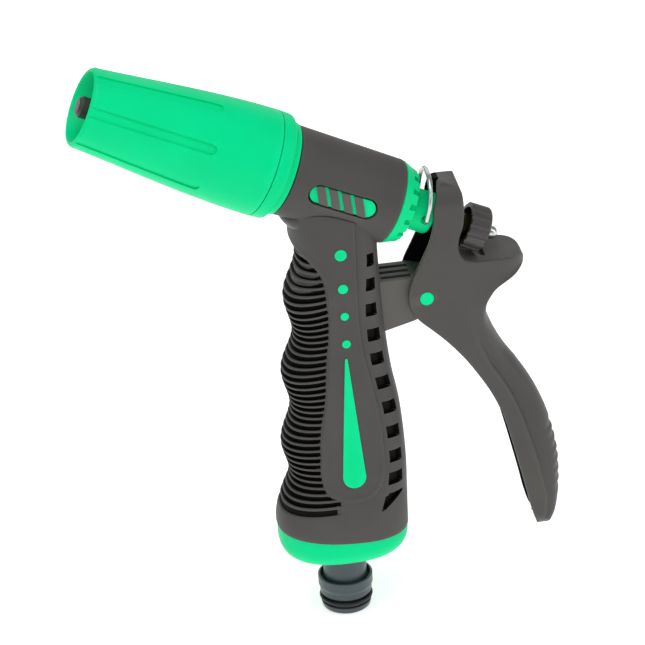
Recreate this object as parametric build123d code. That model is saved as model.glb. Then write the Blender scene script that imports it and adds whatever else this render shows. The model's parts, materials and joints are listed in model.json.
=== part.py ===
from build123d import *
import math
import os

# Pistol-grip hose spray gun, millimetres.
# The origin is the centre of the inlet spigot's open end and +Z runs up the grip.
# The nozzle points to -X and upwards; Y = 0 is the plane of symmetry.
# Pieces on the barrel are turned about a local Z that runs along the barrel to the mouth.

os.makedirs("parts", exist_ok=True)

# ---- driving dimensions -------------------------------------------------------------
BARREL_TILT = 25.2          # barrel axis above the horizontal, degrees
BARREL_HEIGHT = 147.3       # where the barrel axis crosses the grip axis

CORE_R = 11.0               # barrel core, outside
CHAMBER_R = 6.5             # water chamber round the stem
SLEEVE_FRONT_R = 13.9       # grey sleeve at its front end
SLEEVE_REAR_R = 13.1        # grey sleeve at its rear end
SLEEVE_FRONT = 13.4         # along the barrel
SLEEVE_REAR = -21.4
FRONT_TUBE_R = 9.4          # front tube that the nozzle screws on
FRONT_TUBE_END = 52.0

NOZZLE_REAR = 13.8
NOZZLE_SEAM = 20.6
NOZZLE_SEAM_R = 16.4
NOZZLE_RIM_R = 12.3
NOZZLE_MOUTH = 79.2
MOUTH_R = 10.8
ORIFICE_R = 4.2
NOZZLE_SLOTS = 7
SLOT_END = 39.6             # slots run from the mouth back to here
SLOT_WIDTH = 3.2
SLOT_DEPTH = 0.5
SLOT_MEAN_R = 14.3          # outside radius half way along the slots
SLOT_TURN = -7.7            # angle of the first slot from the side, degrees

STEM_R = 2.0
STEM_END = -55.8            # its rear end
TIP_R = 3.3
TIP_END = 80.0
SPRING_REAR = -14.0
SPRING_FRONT = 13.0
SPRING_R = 4.6
SPRING_WIRE = 0.55          # radius
SPRING_COILS = 8

GLAND_END = -26.3
GLAND_END_R = 11.0
GLAND_NOTCHES = 15
GLAND_TURN = 4.0            # angle of the first notch from the top, degrees
NECK_R = 6.4
NECK_END = -34.5
BAIL_ALONG = -31.8          # bail pivot on the neck, along the barrel
BAIL_WIRE = 0.75            # radius

KNOB_R = 7.0
KNOB_FRONT = -46.0
KNOB_REAR = -52.6
KNOB_FLUTES = 16

PIN_X = 28.0                # trigger pivot
PIN_Z = 108.2
PIN_R = 2.1
TRIGGER_HALF = 8.4          # half width outside
REST_END = 59.4           # rear end of the thumb rest
REST_BOTTOM = 111.2
REST_ROUND = 7.4            # length of its half-oval end in plan
TRIGGER_INNER = 7.2         # half width of its channel
ARM_HALF = 6.2

COVER = 1.6                 # soft grip cover, thickness
SHELL = 2.4                 # hard grip halves, thickness
PANEL_RISE = 0.7            # side panel above the ribs
RIB_PITCH = 2.2
RIB_GAP = 1.25
RIB_COUNT = 40
RIB_BOTTOM = 42.1           # height of the lowest gap where it crosses the grip axis
RIB_SLOPE = 6.0             # gaps rise towards the rear, degrees

BASE_HEIGHT = 20.3          # underside of the base ring
BASE_SPLIT = 30.6           # base ring to cover, on the grip axis
BASE_TILT = 4.0             # that joint drops towards the rear, degrees
BASE_HALF_X = 20.2
BASE_HALF_Y = 16.0
BASE_ROUND = 7.2

SPIGOT_R = 8.5              # collar of the push-on hose fitting
SPIGOT_COLLAR = 11.4        # top of that collar
SPIGOT_NECK_R = 6.75
SPIGOT_BORE_R = 4.5
TUBE_R = 5.2
TUBE_BORE_R = 3.8
TUBE_BOTTOM = 30.6
TUBE_TOP = 142.0

RUN = 0.06                  # radial running clearance

# Grip outline: height, front, rear and half width
GRIP_SECTIONS = [
    (26.0, -20.2, 20.3, 16.0),
    (35.0, -20.4, 20.4, 15.8),
    (42.0, -18.6, 20.5, 14.9),
    (49.0, -15.9, 20.5, 14.0),
    (60.5, -17.8, 20.0, 13.2),
    (73.0, -14.4, 18.9, 12.7),
    (85.0, -16.6, 16.9, 12.4),
    (97.5, -12.5, 15.6, 12.2),
    (110.5, -14.7, 14.9, 12.1),
    (124.0, -10.5, 14.3, 12.1),
    (133.0, -11.6, 14.2, 12.1),
    (142.0, -12.0, 14.0, 12.0),
]
SQUARENESS = 2.35           # exponent of the grip's oval
REAR_SQUARENESS = 3.2       # the rear half is squarer above the foot of the grip
SECTION_POINTS = 24

TILT = math.radians(BARREL_TILT)
BARREL = Plane(
    origin=(0, 0, BARREL_HEIGHT),
    x_dir=(math.sin(TILT), 0, math.cos(TILT)),
    z_dir=(-math.cos(TILT), 0, math.sin(TILT)),
)


# ---- shared shapes ------------------------------------------------------------------
def on_barrel(shape):
    """Move a shape from the barrel's local frame to the gun's frame."""
    return BARREL.location * shape


def turned(*points):
    """Solid of revolution about Z from (radius, height) corners."""
    return revolve(Plane.XZ * make_face(Polyline(*points, close=True)), Axis.Z)


def turned_round(points, radii):
    """Solid of revolution about Z with a rounding radius for each corner."""
    outline = FilletPolyline(*points, radius=radii, close=True)
    return revolve(Plane.XZ * make_face(outline), Axis.Z)


def rod(radius, start, end):
    """Round bar about Z from one height to another."""
    return Pos(0, 0, (start + end) / 2) * Cylinder(radius, abs(end - start))


def ring(outer, inner, start, end):
    return rod(outer, start, end) - rod(inner, start - 1, end + 1)


def o_ring(radius, section, height):
    return Pos(0, 0, height) * Torus(radius, section)


def side_plate(outline, half_width):
    """Extrude an outline drawn in X and Z by the same amount to both sides."""
    return extrude(Plane.XZ * make_face(outline), half_width, both=True)


def side_bar(radius, x, z, y_from, y_to):
    """Round bar along Y."""
    bar = Cylinder(radius, y_to - y_from, rotation=(90, 0, 0))
    return Pos(x, (y_from + y_to) / 2, z) * bar


# ---- grip outline -------------------------------------------------------------------
def rear_exponent(height):
    """The rear half grows squarer between 44 and 62 mm up."""
    share = min(max((height - 44) / 18, 0), 1)
    return SQUARENESS + (REAR_SQUARENESS - SQUARENESS) * share


def grip_section(height, front, rear, half_width, inset):
    """One horizontal section of the grip as a rounded oval."""
    half_length = (rear - front) / 2 - inset
    half_width = half_width - inset
    points = []
    for step in range(SECTION_POINTS):
        turn = 2 * math.pi * step / SECTION_POINTS
        power = 2 / (rear_exponent(height) if math.cos(turn) > 0 else SQUARENESS)
        along = math.copysign(abs(math.cos(turn)) ** power, math.cos(turn))
        across = math.copysign(abs(math.sin(turn)) ** power, math.sin(turn))
        points.append(((rear + front) / 2 + half_length * along, half_width * across, height))
    return make_face(Spline(*points, periodic=True))


def grip_solid(inset):
    return loft([grip_section(*section, inset) for section in GRIP_SECTIONS])


def below_base_split():
    block = Pos(0, 0, -30) * Box(80, 80, 60)
    return Pos(0, 0, BASE_SPLIT) * Rot(0, BASE_TILT, 0) * block


def under_barrel():
    """Everything below the barrel's axis, in the gun's frame."""
    block = Box(120, 80, 200, align=(Align.MAX, Align.CENTER, Align.CENTER))
    return on_barrel(Pos(-1.5, 0, 0) * block)


def panel_outline():
    """Raised side panel, drawn in X and Z."""
    front_edge = Spline(
        (-13, 131), (-7.6, 125.6), (-3.8, 120.2), (-2.7, 111), (-3.5, 93), (-6.9, 63), (-7.3, 51),
        (-3.8, 45.6), (1.8, 44.0),
    )
    rear_edge = Spline(
        (1.8, 44.0), (8.2, 45.4), (11.6, 51), (12.1, 62), (9.5, 84), (7.0, 99.6), (6.6, 110), (7.0, 140),
    )
    return Wire([front_edge, rear_edge, *Polyline((7.0, 140), (-13, 140), (-13, 131)).edges()])


def panel_plate(half_width):
    return extrude(Plane.XZ * make_face(panel_outline()), half_width, both=True)


def inlay_plate(half_width):
    """Four dots above a long teardrop, right through the grip."""
    teardrop = make_hull(
        [
            *(Pos(2.4, 52.9) * Circle(3.55)).edges(),
            *(Pos(1.8, 93.0) * Circle(0.4)).edges(),
        ]
    )
    marks = extrude(Plane.XZ * teardrop, half_width, both=True)
    for radius, x, z in ((1.8, 1.7, 128.5), (1.5, 1.9, 117.1), (1.25, 2.0, 107.8), (1.3, 2.1, 98.4)):
        marks += side_bar(radius, x, z, -half_width, half_width)
    return marks


def rib_gaps():
    """Thin slots across the front of the grip, clear of the side panels."""
    gaps = []
    for step in range(RIB_COUNT):
        height = RIB_BOTTOM + step * RIB_PITCH
        slot = Rot(0, -RIB_SLOPE, 0) * (Pos(-20, 0, 0) * Box(50, 60, RIB_GAP))
        gaps.append(Pos(0, 0, height) * slot)
    keep = Pos(24, 0, 90) * Box(50, 80, 160)
    return Part() + gaps - keep - Pos(-1.2, 0, 0) * panel_plate(40)


def ladder_windows():
    """Column of windows beside the spine, through both sides."""
    windows = []
    for x, z, width in (
        (10.9, 124.8, 2.2), (10.6, 116.6, 2.8), (10.4, 108.1, 3.4), (10.8, 99.6, 3.9),
        (11.6, 91.3, 4.0), (13.1, 82.7, 4.2), (14.7, 74.1, 4.1), (15.5, 65.5, 4.0),
        (15.9, 57.0, 3.9), (15.6, 49.4, 4.7),
    ):
        windows.append(Pos(x, 0, z) * Rot(0, 7, 0) * Box(width, 60, 4.2))
    foot = make_face(Polyline((10.2, 39.3), (18.0, 44.4), (12.0, 44.2), close=True))
    windows.append(extrude(Plane.XZ * foot, 30, both=True))
    return windows


# ---- nozzle -------------------------------------------------------------------------
def nozzle_outline():
    """Outside of the nozzle from the seam to the rim."""
    return Spline((NOZZLE_SEAM_R, NOZZLE_SEAM), (15.9, 36), (14.2, 57), (NOZZLE_RIM_R, 77.2))


def nozzle_shell():
    side = nozzle_outline()
    rim = ThreePointArc((NOZZLE_RIM_R, 77.2), (11.9, 78.7), (11.1, NOZZLE_MOUTH))
    inside = Polyline(
        (11.1, NOZZLE_MOUTH), (MOUTH_R, NOZZLE_MOUTH - 0.4), (6.2, 61.2), (12.0, 61.2),
        (12.0, NOZZLE_SEAM), (NOZZLE_SEAM_R, NOZZLE_SEAM),
    )
    shell = revolve(Plane.XZ * make_face(Wire([side, rim, *inside.edges()])), Axis.Z)
    return shell - nozzle_slots()


def nozzle_slots():
    """Shallow round-ended slots that follow the outside of the nozzle."""
    length = NOZZLE_MOUTH + 10 - SLOT_END
    outline = Pos(0, SLOT_END + length / 2) * SlotOverall(length, SLOT_WIDTH, rotation=90)
    bar = extrude(Plane.XZ.offset(-20) * outline, 20)
    axis_side = Polyline(
        (NOZZLE_RIM_R, 77.2), (NOZZLE_RIM_R - 0.1, 90), (0, 90), (0, NOZZLE_SEAM),
        (NOZZLE_SEAM_R, NOZZLE_SEAM),
    )
    core = revolve(Plane.XZ * make_face(Wire([nozzle_outline(), *axis_side.edges()])), Axis.Z)
    shrink = 1 - SLOT_DEPTH / SLOT_MEAN_R
    bar -= scale(core, (shrink, shrink, 1))
    return [Rot(0, 0, SLOT_TURN + 360 / NOZZLE_SLOTS * step) * bar for step in range(NOZZLE_SLOTS)]


def nozzle_collar():
    """Rear band of the nozzle, with a thin step where it meets the shell."""
    step = NOZZLE_SEAM - 0.3
    return turned_round(
        [
            (12.0, NOZZLE_REAR), (14.3, NOZZLE_REAR), (14.3, 15.9), (16.2, 15.9),
            (NOZZLE_SEAM_R, step), (NOZZLE_SEAM_R - 0.8, step), (NOZZLE_SEAM_R - 0.8, NOZZLE_SEAM),
            (12.0, NOZZLE_SEAM),
        ],
        [0, 0.3, 0.5, 1.3, 0.1, 0, 0, 0],
    )


def nozzle_core():
    """Threaded inner sleeve of the nozzle, with the orifice at its front end."""
    sleeve = turned(
        (FRONT_TUBE_R + 0.35, NOZZLE_REAR + 0.4), (12.0, NOZZLE_REAR + 0.4), (12.0, 61.0), (ORIFICE_R, 61.0),
        (ORIFICE_R, 58.4), (7.6, 57.0), (FRONT_TUBE_R + 0.35, 57.0),
    )
    return sleeve - rod(10.9, 46.0, 48.4)


# ---- barrel and valve ---------------------------------------------------------------
def barrel_core():
    """Water chamber with the valve seat and the front tube."""
    outside = turned_round(
        [(0, SLEEVE_REAR), (CORE_R, SLEEVE_REAR), (CORE_R, SLEEVE_FRONT), (FRONT_TUBE_R, SLEEVE_FRONT),
         (FRONT_TUBE_R, FRONT_TUBE_END), (0, FRONT_TUBE_END)],
        [0, 0, 0, 0, 0.8, 0],
    )
    chamber = turned(
        (0, SPRING_REAR), (CHAMBER_R, SPRING_REAR), (CHAMBER_R, 44.8), (3.6, 44.8), (3.6, 46.6),
        (6.6, 49.0), (6.6, FRONT_TUBE_END + 1), (0, FRONT_TUBE_END + 1),
    )
    rear_socket = rod(10.2, SLEEVE_REAR - 1, SLEEVE_REAR + 4.4) + rod(9.8, SLEEVE_REAR, SPRING_REAR)
    return outside - chamber - rear_socket


def gland_nut():
    """Notched ring that screws into the rear of the barrel and holds the neck."""
    nut = turned_round(
        [(NECK_R, GLAND_END), (GLAND_END_R, GLAND_END), (SLEEVE_REAR_R - 0.05, SLEEVE_REAR),
         (10.2, SLEEVE_REAR), (10.2, SLEEVE_REAR + 4.4), (NECK_R, SLEEVE_REAR + 4.4)],
        [0, 0.5, 0.3, 0, 0.3, 0],
    )
    for step in range(GLAND_NOTCHES):
        notch = Pos(GLAND_END_R + 1.2, 0, GLAND_END) * Box(5.6, 1.7, 4.4)
        nut -= Rot(0, 0, GLAND_TURN + 360 / GLAND_NOTCHES * step) * notch
    return nut


def stem_guide():
    """Neck tube that carries the stem and the bail's feet."""
    neck = turned_round(
        [(STEM_R + RUN, NECK_END), (NECK_R, NECK_END), (NECK_R, SLEEVE_REAR + 4.4),
         (9.8, SLEEVE_REAR + 4.4), (9.8, SPRING_REAR), (STEM_R + RUN, SPRING_REAR)],
        [0, 0.6, 0, 0, 0, 0],
    )
    neck -= rod(3.7, -20.5, -18.3)
    for side in (-1, 1):
        foot = Pos(0, side * 5, BAIL_ALONG) * Cylinder(BAIL_WIRE + RUN, 5, rotation=(90, 0, 0))
        sink = Pos(0, side * 6.3, BAIL_ALONG) * Cylinder(1.45, 1.6, rotation=(90, 0, 0))
        neck = neck - foot - sink
    return neck


def valve_stem():
    """Pull rod with the valve collar, clip groove and threaded tail, which ends in a dome."""
    return turned_round(
        [(0, STEM_END), (STEM_R, STEM_END), (STEM_R, 14.0), (1.6, 14.0), (1.6, 14.8), (STEM_R, 14.8),
         (STEM_R, 40.0), (5.2, 40.0), (5.2, 42.0), (STEM_R, 42.0), (STEM_R, 62.0), (0, 62.0)],
        [0, 1.1, 0, 0, 0, 0, 0, 0.4, 0.4, 0, 0.3, 0],
    )


def stem_tip():
    """Bevelled plastic tip that fills the middle of the jet."""
    tip = turned_round(
        [(0, 54.0), (2.9, 54.0), (TIP_R, 56.5), (TIP_R, TIP_END - 0.9), (TIP_R - 0.9, TIP_END), (0, TIP_END)],
        [0, 0.3, 0.3, 0.15, 0.15, 0],
    )
    return tip - rod(STEM_R, 50, 62.0)


def return_spring():
    """Compression spring from the neck flange to the washer on the stem."""
    start = SPRING_REAR + SPRING_WIRE + 0.02
    height = SPRING_FRONT - SPRING_REAR - 2 * SPRING_WIRE - 0.04
    pitch = height / SPRING_COILS
    path = Helix(pitch=pitch, height=height, radius=SPRING_R)
    start_plane = Plane(origin=path @ 0, z_dir=path % 0)
    coil = sweep(start_plane * Circle(SPRING_WIRE), path=path, is_frenet=True)
    return Pos(0, 0, start) * coil


def stem_clip():
    """Open retaining clip in the stem's groove."""
    clip = ring(3.6, 1.6, 14.0, 14.8)
    return clip - Pos(2.5, 0, 14.4) * Box(5, 2.2, 3)


# ---- flow knob ----------------------------------------------------------------------
def knob_insert():
    """Brass thread bush of the knob with a domed nose that bears on the trigger."""
    bore = STEM_R + RUN
    nose = ThreePointArc((3.2, -45.2), (2.7, -44.65), (bore, -44.17))
    body = Polyline((bore, -44.17), (bore, KNOB_REAR + 0.2), (3.2, KNOB_REAR + 0.2), (3.2, -45.2))
    return revolve(Plane.XZ * make_face(Wire([nose, *body.edges()])), Axis.Z)


def flow_knob():
    """Fluted cup with a bore for the bush."""
    knob = turned_round(
        [(3.2 + RUN, KNOB_REAR), (KNOB_R, KNOB_REAR), (KNOB_R, KNOB_FRONT), (5.5, KNOB_FRONT),
         (5.2, KNOB_REAR + 2.4), (3.2 + RUN, KNOB_REAR + 2.4)],
        [0, 0.9, 0.4, 0.2, 0.4, 0],
    )
    for step in range(KNOB_FLUTES):
        flute = Pos(KNOB_R + 0.15, 0, -49.3) * Cylinder(0.7, 9)
        knob -= Rot(0, 0, 360 / KNOB_FLUTES * step) * flute
    return knob


# ---- lock bail ----------------------------------------------------------------------
def bail_pivot():
    """The bail's pivot in the gun's frame, as X and Z."""
    return (-math.cos(TILT) * BAIL_ALONG, BARREL_HEIGHT + math.sin(TILT) * BAIL_ALONG)


def lock_bail():
    """Bent wire loop with both feet in the neck."""
    x, z = bail_pivot()
    near = [(x, -3.6, z), (x, -8.0, z), (x + 1.0, -9.0, z + 5.0), (x + 2.2, -8.4, z + 12.6)]
    path = FilletPolyline(
        *near, *[(px, -py, pz) for px, py, pz in reversed(near)],
        radius=[1.3, 4.0, 7.4, 7.4, 4.0, 1.3],
    )
    return sweep(Plane(origin=path @ 0, z_dir=path % 0) * Circle(BAIL_WIRE), path=path)


# ---- trigger ------------------------------------------------------------------------
def trigger_side():
    """Side view of the trigger, as a face in X and Z."""
    edges = [
        FilletPolyline((30.9, 133.0), (33.0, 147.6), (37.4, 146.8), (40.6, 138.0),
                       radius=[1.2, 2.6]),
        Spline((40.6, 138.0), (40.3, 131.5), (38.4, 124.5), tangents=[(1, -2.75), (-0.3, -1)]),
        Spline((38.4, 124.5), (39.6, 120.6), (43.6, 118.7), tangents=[(-0.3, -1), (1, 0)]),
        Line((43.6, 118.7), (55.0, 118.5)),
        Spline((55.0, 118.5), (59.4, 115.7), (53.6, 111.2), tangents=[(1, 0), (-1, -0.55)]),
        Spline((53.6, 111.2), (48.0, 106.6), (46.6, 100.6), (51.2, 88.0), (59.8, 74.4), (65.8, 60.0),
               (68.5, 46.0), (68.4, 32.0)),
        ThreePointArc((68.4, 32.0), (64.6, 22.4), (59.3, 27.2)),
        Spline((59.3, 27.2), (53.2, 54.0), (46.8, 73.0), (38.6, 86.4), (25.0, 101.2),
               tangents=[(-0.2, 1), (-1, 1)]),
        Spline((25.0, 101.2), (22.4, 108.6), (25.2, 117.6), (29.2, 125.8), (30.9, 133.0),
               tangents=[(-1, 1), (0.1, 1)]),
    ]
    return make_face(Wire([piece for edge in edges for piece in edge.edges()]))


def trigger_channel_side():
    """Side view of the open channel inside the trigger."""
    edges = [
        Polyline((20, 154), (34.6, 154), (38.0, 139.0)),
        Spline((38.0, 139.0), (37.9, 131.0), (36.0, 124.0), (37.4, 117.9), (42.0, 115.9), (52.4, 115.6),
               tangents=[(0.1, -1), (1, 0)]),
        Spline((52.4, 115.6), (46.4, 107.9), (44.3, 100.6), (48.9, 87.2), (57.4, 73.6), (63.4, 59.4),
               (66.0, 45.8), (65.9, 33.0)),
        ThreePointArc((65.9, 33.0), (64.0, 26.6), (59.6, 25.6)),
        Polyline((59.6, 25.6), (20, 25.6), (20, 154)),
    ]
    return make_face(Wire([piece for edge in edges for piece in edge.edges()]))


def lever_front(half_width, foot, crown):
    """Front view of the trigger: an arched head, and a lever that narrows to a rounded foot."""
    right = Spline((half_width, 92), (half_width - 0.9, 70), (half_width - 1.5, 29),
                   tangents=[(0, -1), (0, -1)])
    toe = ThreePointArc((half_width - 1.5, 29), (0, foot), (1.5 - half_width, 29))
    left = Spline((1.5 - half_width, 29), (0.9 - half_width, 70), (-half_width, 92),
                  tangents=[(0, 1), (0, 1)])
    left_cheek = Line((-half_width, 92), (-half_width, 139.5))
    head = ThreePointArc((-half_width, 139.5), (0, crown), (half_width, 139.5))
    right_cheek = Line((half_width, 139.5), (half_width, 92))
    outline = Wire([right, toe, left, left_cheek, head, right_cheek])
    return extrude(Plane.YZ * make_face(outline), 90)


def rest_corners():
    """What is cut off to round the thumb rest's rear end in plan."""
    centre = REST_END - REST_ROUND
    block = Pos(centre + 10, 0, REST_BOTTOM + 10) * Box(20, 3 * TRIGGER_HALF, 20)
    return block - extrude(Pos(centre, 0, REST_BOTTOM) * Ellipse(REST_ROUND, TRIGGER_HALF), 20)


def trigger_lever():
    """Squeeze trigger: two cheeks and a back web, open towards the grip."""
    body = extrude(Plane.XZ * trigger_side(), TRIGGER_HALF, both=True)
    body &= lever_front(TRIGGER_HALF, 21.6, 147.2)
    body -= rest_corners()
    wall = TRIGGER_HALF - TRIGGER_INNER
    channel = extrude(Plane.XZ * trigger_channel_side(), TRIGGER_INNER, both=True)
    channel &= lever_front(TRIGGER_HALF - wall, 24.2, 145.6)
    body -= channel
    body -= side_bar(PIN_R + RUN, PIN_X, PIN_Z, -20, 20)
    knob_room = rod(KNOB_R + 0.5, KNOB_REAR - 2.2, KNOB_FRONT + 0.6)
    stem_slot = Pos(-0.2, 0, -42) * Box(7.4, 5.0, 12)
    return body - on_barrel(knob_room) - on_barrel(stem_slot)


def trigger_bracket():
    """Arm from the grip to the pivot, with a ribbed top."""
    outline = FilletPolyline(
        (7.0, 98.6), (14.0, 97.4), (24.6, 100.2), (33.4, 105.0), (33.2, 112.0), (24.6, 114.4), (7.0, 114.4),
        radius=[0.5, 8, 4, 4.2, 4.2, 6, 0.5], close=True,
    )
    arm = side_plate(outline, ARM_HALF)
    for y in (-3.4, 0, 3.4):
        arm -= Pos(19.5, y, 114.4) * Box(9.0, 1.6, 1.6)
    return arm - side_bar(PIN_R, PIN_X, PIN_Z, -20, 20)


# ---- grip ---------------------------------------------------------------------------
def barrel_sleeve():
    return turned_round(
        [(0, SLEEVE_REAR), (SLEEVE_REAR_R, SLEEVE_REAR), (SLEEVE_FRONT_R, SLEEVE_FRONT), (0, SLEEVE_FRONT)],
        [0, 0.6, 0.5, 0],
    )


def badge_outline(length, width):
    """Stadium on the barrel's side, drawn in the barrel's frame and cut along Y."""
    slot = SlotOverall(length, width, rotation=90)
    return extrude(Plane.XZ * (Pos(0.4, -3.3) * slot), 30, both=True)


def barrel_layer(outer, inner):
    return ring(outer, inner, SLEEVE_REAR, SLEEVE_FRONT)


def gland_room():
    """Space behind the sleeve for the gland nut."""
    return on_barrel(rod(SLEEVE_REAR_R + 0.4, GLAND_END - 4, SLEEVE_REAR))


def one_side(shape, side):
    """Half of a shape: side -1 keeps -Y, side 1 keeps +Y."""
    return shape & Pos(0, side * 50, 90) * Box(300, 100, 400)


def grip_cover():
    """Soft cover over the grip and the barrel, with ribs, windows and a raised panel."""
    outside = grip_solid(0)
    panel = grip_solid(-PANEL_RISE) & panel_plate(40)
    hull = outside + panel - below_base_split()
    sleeve = on_barrel(barrel_sleeve())
    skin = hull - grip_solid(COVER) - rib_gaps() - ladder_windows()
    skin = skin + (sleeve - (grip_solid(COVER) & under_barrel()))
    skin -= on_barrel(rod(CORE_R, SLEEVE_REAR - 1, SLEEVE_FRONT + 1))
    skin -= inlay_plate(30)
    skin -= on_barrel(badge_outline(22.3, 6.7))
    return skin - gland_room() - trigger_bracket()


def grip_halves():
    """Hard shells round the water tube, split on the plane of symmetry."""
    shell = grip_solid(COVER) - grip_solid(COVER + SHELL) - below_base_split()
    shell &= under_barrel()
    shell -= on_barrel(rod(CORE_R, SLEEVE_REAR - 5, SLEEVE_FRONT + 5))
    return shell - gland_room() - trigger_bracket()


def inlay():
    """Flush marks in the side panel."""
    skin = grip_solid(-PANEL_RISE - 0.15) - grip_solid(COVER)
    return inlay_plate(30) & skin


def badge():
    """Green plate in the barrel's side window."""
    return badge_outline(21.1, 5.5) & barrel_layer(12.8, CORE_R)


def badge_bars():
    """Four slanted bars over the badge plate."""
    layer = badge_outline(21.1, 5.5) & barrel_layer(13.4, 12.8)
    bars = Part()
    for step in range(4):
        along = -2.7 + (step - 1.5) * 4.1
        bars += Pos(0.4, 0, along) * Rot(0, -30, 0) * Box(12, 60, 2.5)
    return layer & bars


# ---- inlet --------------------------------------------------------------------------
def base_ring():
    """Green cap that screws the spigot to the grip."""
    cap = extrude(Pos(0, 0, BASE_HEIGHT) * Ellipse(BASE_HALF_X, BASE_HALF_Y), 16)
    cap = fillet(cap.edges().group_by(Axis.Z)[0], BASE_ROUND)
    cap &= below_base_split()
    return cap - rod(7.3, 0, 40) - rod(9.5, 25.0, 40)


def inlet_spigot():
    """Push-on hose fitting with its O-ring groove, collar and socket for the water tube."""
    return turned_round(
        [(SPIGOT_BORE_R, 0), (7.4, 0), (7.9, 2.3), (6.9, 2.3), (6.9, 5.3), (8.05, 5.3), (8.05, 7.2),
         (SPIGOT_R, 8.2), (SPIGOT_R, SPIGOT_COLLAR), (7.7, SPIGOT_COLLAR), (7.7, 9.2),
         (SPIGOT_NECK_R, 9.2), (SPIGOT_NECK_R, BASE_HEIGHT), (7.3, BASE_HEIGHT + 0.6), (7.3, 25.0),
         (9.5, 25.0), (9.5, 28.0), (8.0, 28.0), (8.0, 37.0), (TUBE_R, 37.0), (TUBE_R, 29.0),
         (SPIGOT_BORE_R, 29.0)],
        [0.5, 1.2, 0.3, 0.2, 0.2, 0.3, 1.0, 0.3, 0.3, 0.2, 0.2, 0.2, 0, 0.2, 0, 0, 0.3, 0, 0.3, 0, 0, 0],
    )


def tube_socket():
    """Space that the water tube takes up in the barrel, short of the chamber."""
    return rod(TUBE_R, TUBE_BOTTOM, TUBE_TOP) - on_barrel(rod(CHAMBER_R + 1.5, -30, 30))


def water_tube():
    """Tube from the spigot to the barrel's chamber."""
    return tube_socket() - rod(TUBE_BORE_R, TUBE_BOTTOM - 1, TUBE_TOP + 1)


def save(node, shape):
    shape.label = node
    export_step(shape, f"parts/{node}.step")


def main():
    save("nozzle_shell", on_barrel(nozzle_shell()))
    save("nozzle_collar", on_barrel(nozzle_collar()))
    save("nozzle_core", on_barrel(nozzle_core()))
    save("nozzle_oring", on_barrel(o_ring(10.13, 0.68, 47.2)))

    save("barrel_core", on_barrel(barrel_core()) - tube_socket() - rod(TUBE_BORE_R, 120, 147))
    save("water_tube", water_tube())
    save("stem_guide", on_barrel(stem_guide()))
    save("gland_nut", on_barrel(gland_nut()))
    save("stem_oring", on_barrel(o_ring(2.87, 0.8, -19.4)))

    save("valve_stem", on_barrel(valve_stem()))
    save("stem_tip", on_barrel(stem_tip()))
    save("valve_washer", on_barrel(ring(5.4, STEM_R, 42.0, 44.4)))
    save("spring_washer", on_barrel(ring(5.6, STEM_R, SPRING_FRONT, 14.0)))
    save("stem_clip", on_barrel(stem_clip()))
    save("return_spring", on_barrel(return_spring()))

    save("knob_insert", on_barrel(knob_insert()))
    save("flow_knob", on_barrel(flow_knob()))
    save("lock_bail", lock_bail())

    save("trigger_lever", trigger_lever())
    save("trigger_bracket", trigger_bracket())
    save("pivot_pin", side_bar(PIN_R, PIN_X, PIN_Z, -TRIGGER_HALF - 0.1, TRIGGER_HALF + 0.1))

    save("grip_cover", grip_cover())
    halves = grip_halves()
    marks = inlay()
    plate = on_barrel(badge())
    bars = on_barrel(badge_bars())
    for name, side in (("left", -1), ("right", 1)):
        save(f"grip_half_{name}", one_side(halves, side))
        save(f"inlay_{name}", one_side(marks, side))
        save(f"badge_{name}", one_side(plate, side))
        save(f"badge_bars_{name}", one_side(bars, side))

    save("base_ring", base_ring())
    save("inlet_spigot", inlet_spigot())
    save("inlet_oring", o_ring(7.62, 0.7, 3.8))
    save("inlet_seal", ring(TUBE_R, SPIGOT_BORE_R, 29.0, TUBE_BOTTOM))


main()
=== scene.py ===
import json
import math

import bmesh
import bpy
import numpy as np
from mathutils import Matrix, Vector


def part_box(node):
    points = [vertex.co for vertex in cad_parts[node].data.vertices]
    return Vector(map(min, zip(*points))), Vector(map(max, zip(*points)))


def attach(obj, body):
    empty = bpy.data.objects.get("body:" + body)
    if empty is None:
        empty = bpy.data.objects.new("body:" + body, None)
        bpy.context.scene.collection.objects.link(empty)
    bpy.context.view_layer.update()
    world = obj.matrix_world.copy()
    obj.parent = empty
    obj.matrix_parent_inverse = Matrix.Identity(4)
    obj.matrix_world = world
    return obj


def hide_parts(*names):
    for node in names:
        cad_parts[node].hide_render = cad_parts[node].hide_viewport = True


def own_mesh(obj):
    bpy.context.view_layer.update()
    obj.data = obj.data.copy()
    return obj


# Pistol-grip hose spray gun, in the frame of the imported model: the origin is the centre of the
# spigot's open end, +Z runs up the grip and the nozzle points to -X. Camera, lights and floor are
# placed in metres. Shapes are worked out in millimetres and turned into metres when they are made.

MM = 0.001

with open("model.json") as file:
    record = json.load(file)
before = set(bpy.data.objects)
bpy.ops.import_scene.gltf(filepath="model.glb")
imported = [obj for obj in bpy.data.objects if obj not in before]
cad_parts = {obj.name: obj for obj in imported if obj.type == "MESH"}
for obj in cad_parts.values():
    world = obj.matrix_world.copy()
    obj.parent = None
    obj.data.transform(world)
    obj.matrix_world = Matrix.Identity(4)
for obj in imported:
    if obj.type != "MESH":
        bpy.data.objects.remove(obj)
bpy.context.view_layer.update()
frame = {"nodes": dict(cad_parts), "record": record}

# ---- camera ---------------------------------------------------------------------------
CAMERA_AZIMUTH = math.radians(-8)
CAMERA_ELEVATION = math.radians(28)
CAMERA_ROLL = math.radians(-3)
CAMERA_DISTANCE = 1.5
CAMERA_LENS = 267.1
AIM_RIGHT = -7.6 * MM       # the point looked at, from the origin, in the picture's directions
AIM_UP = 87.7 * MM


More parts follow.
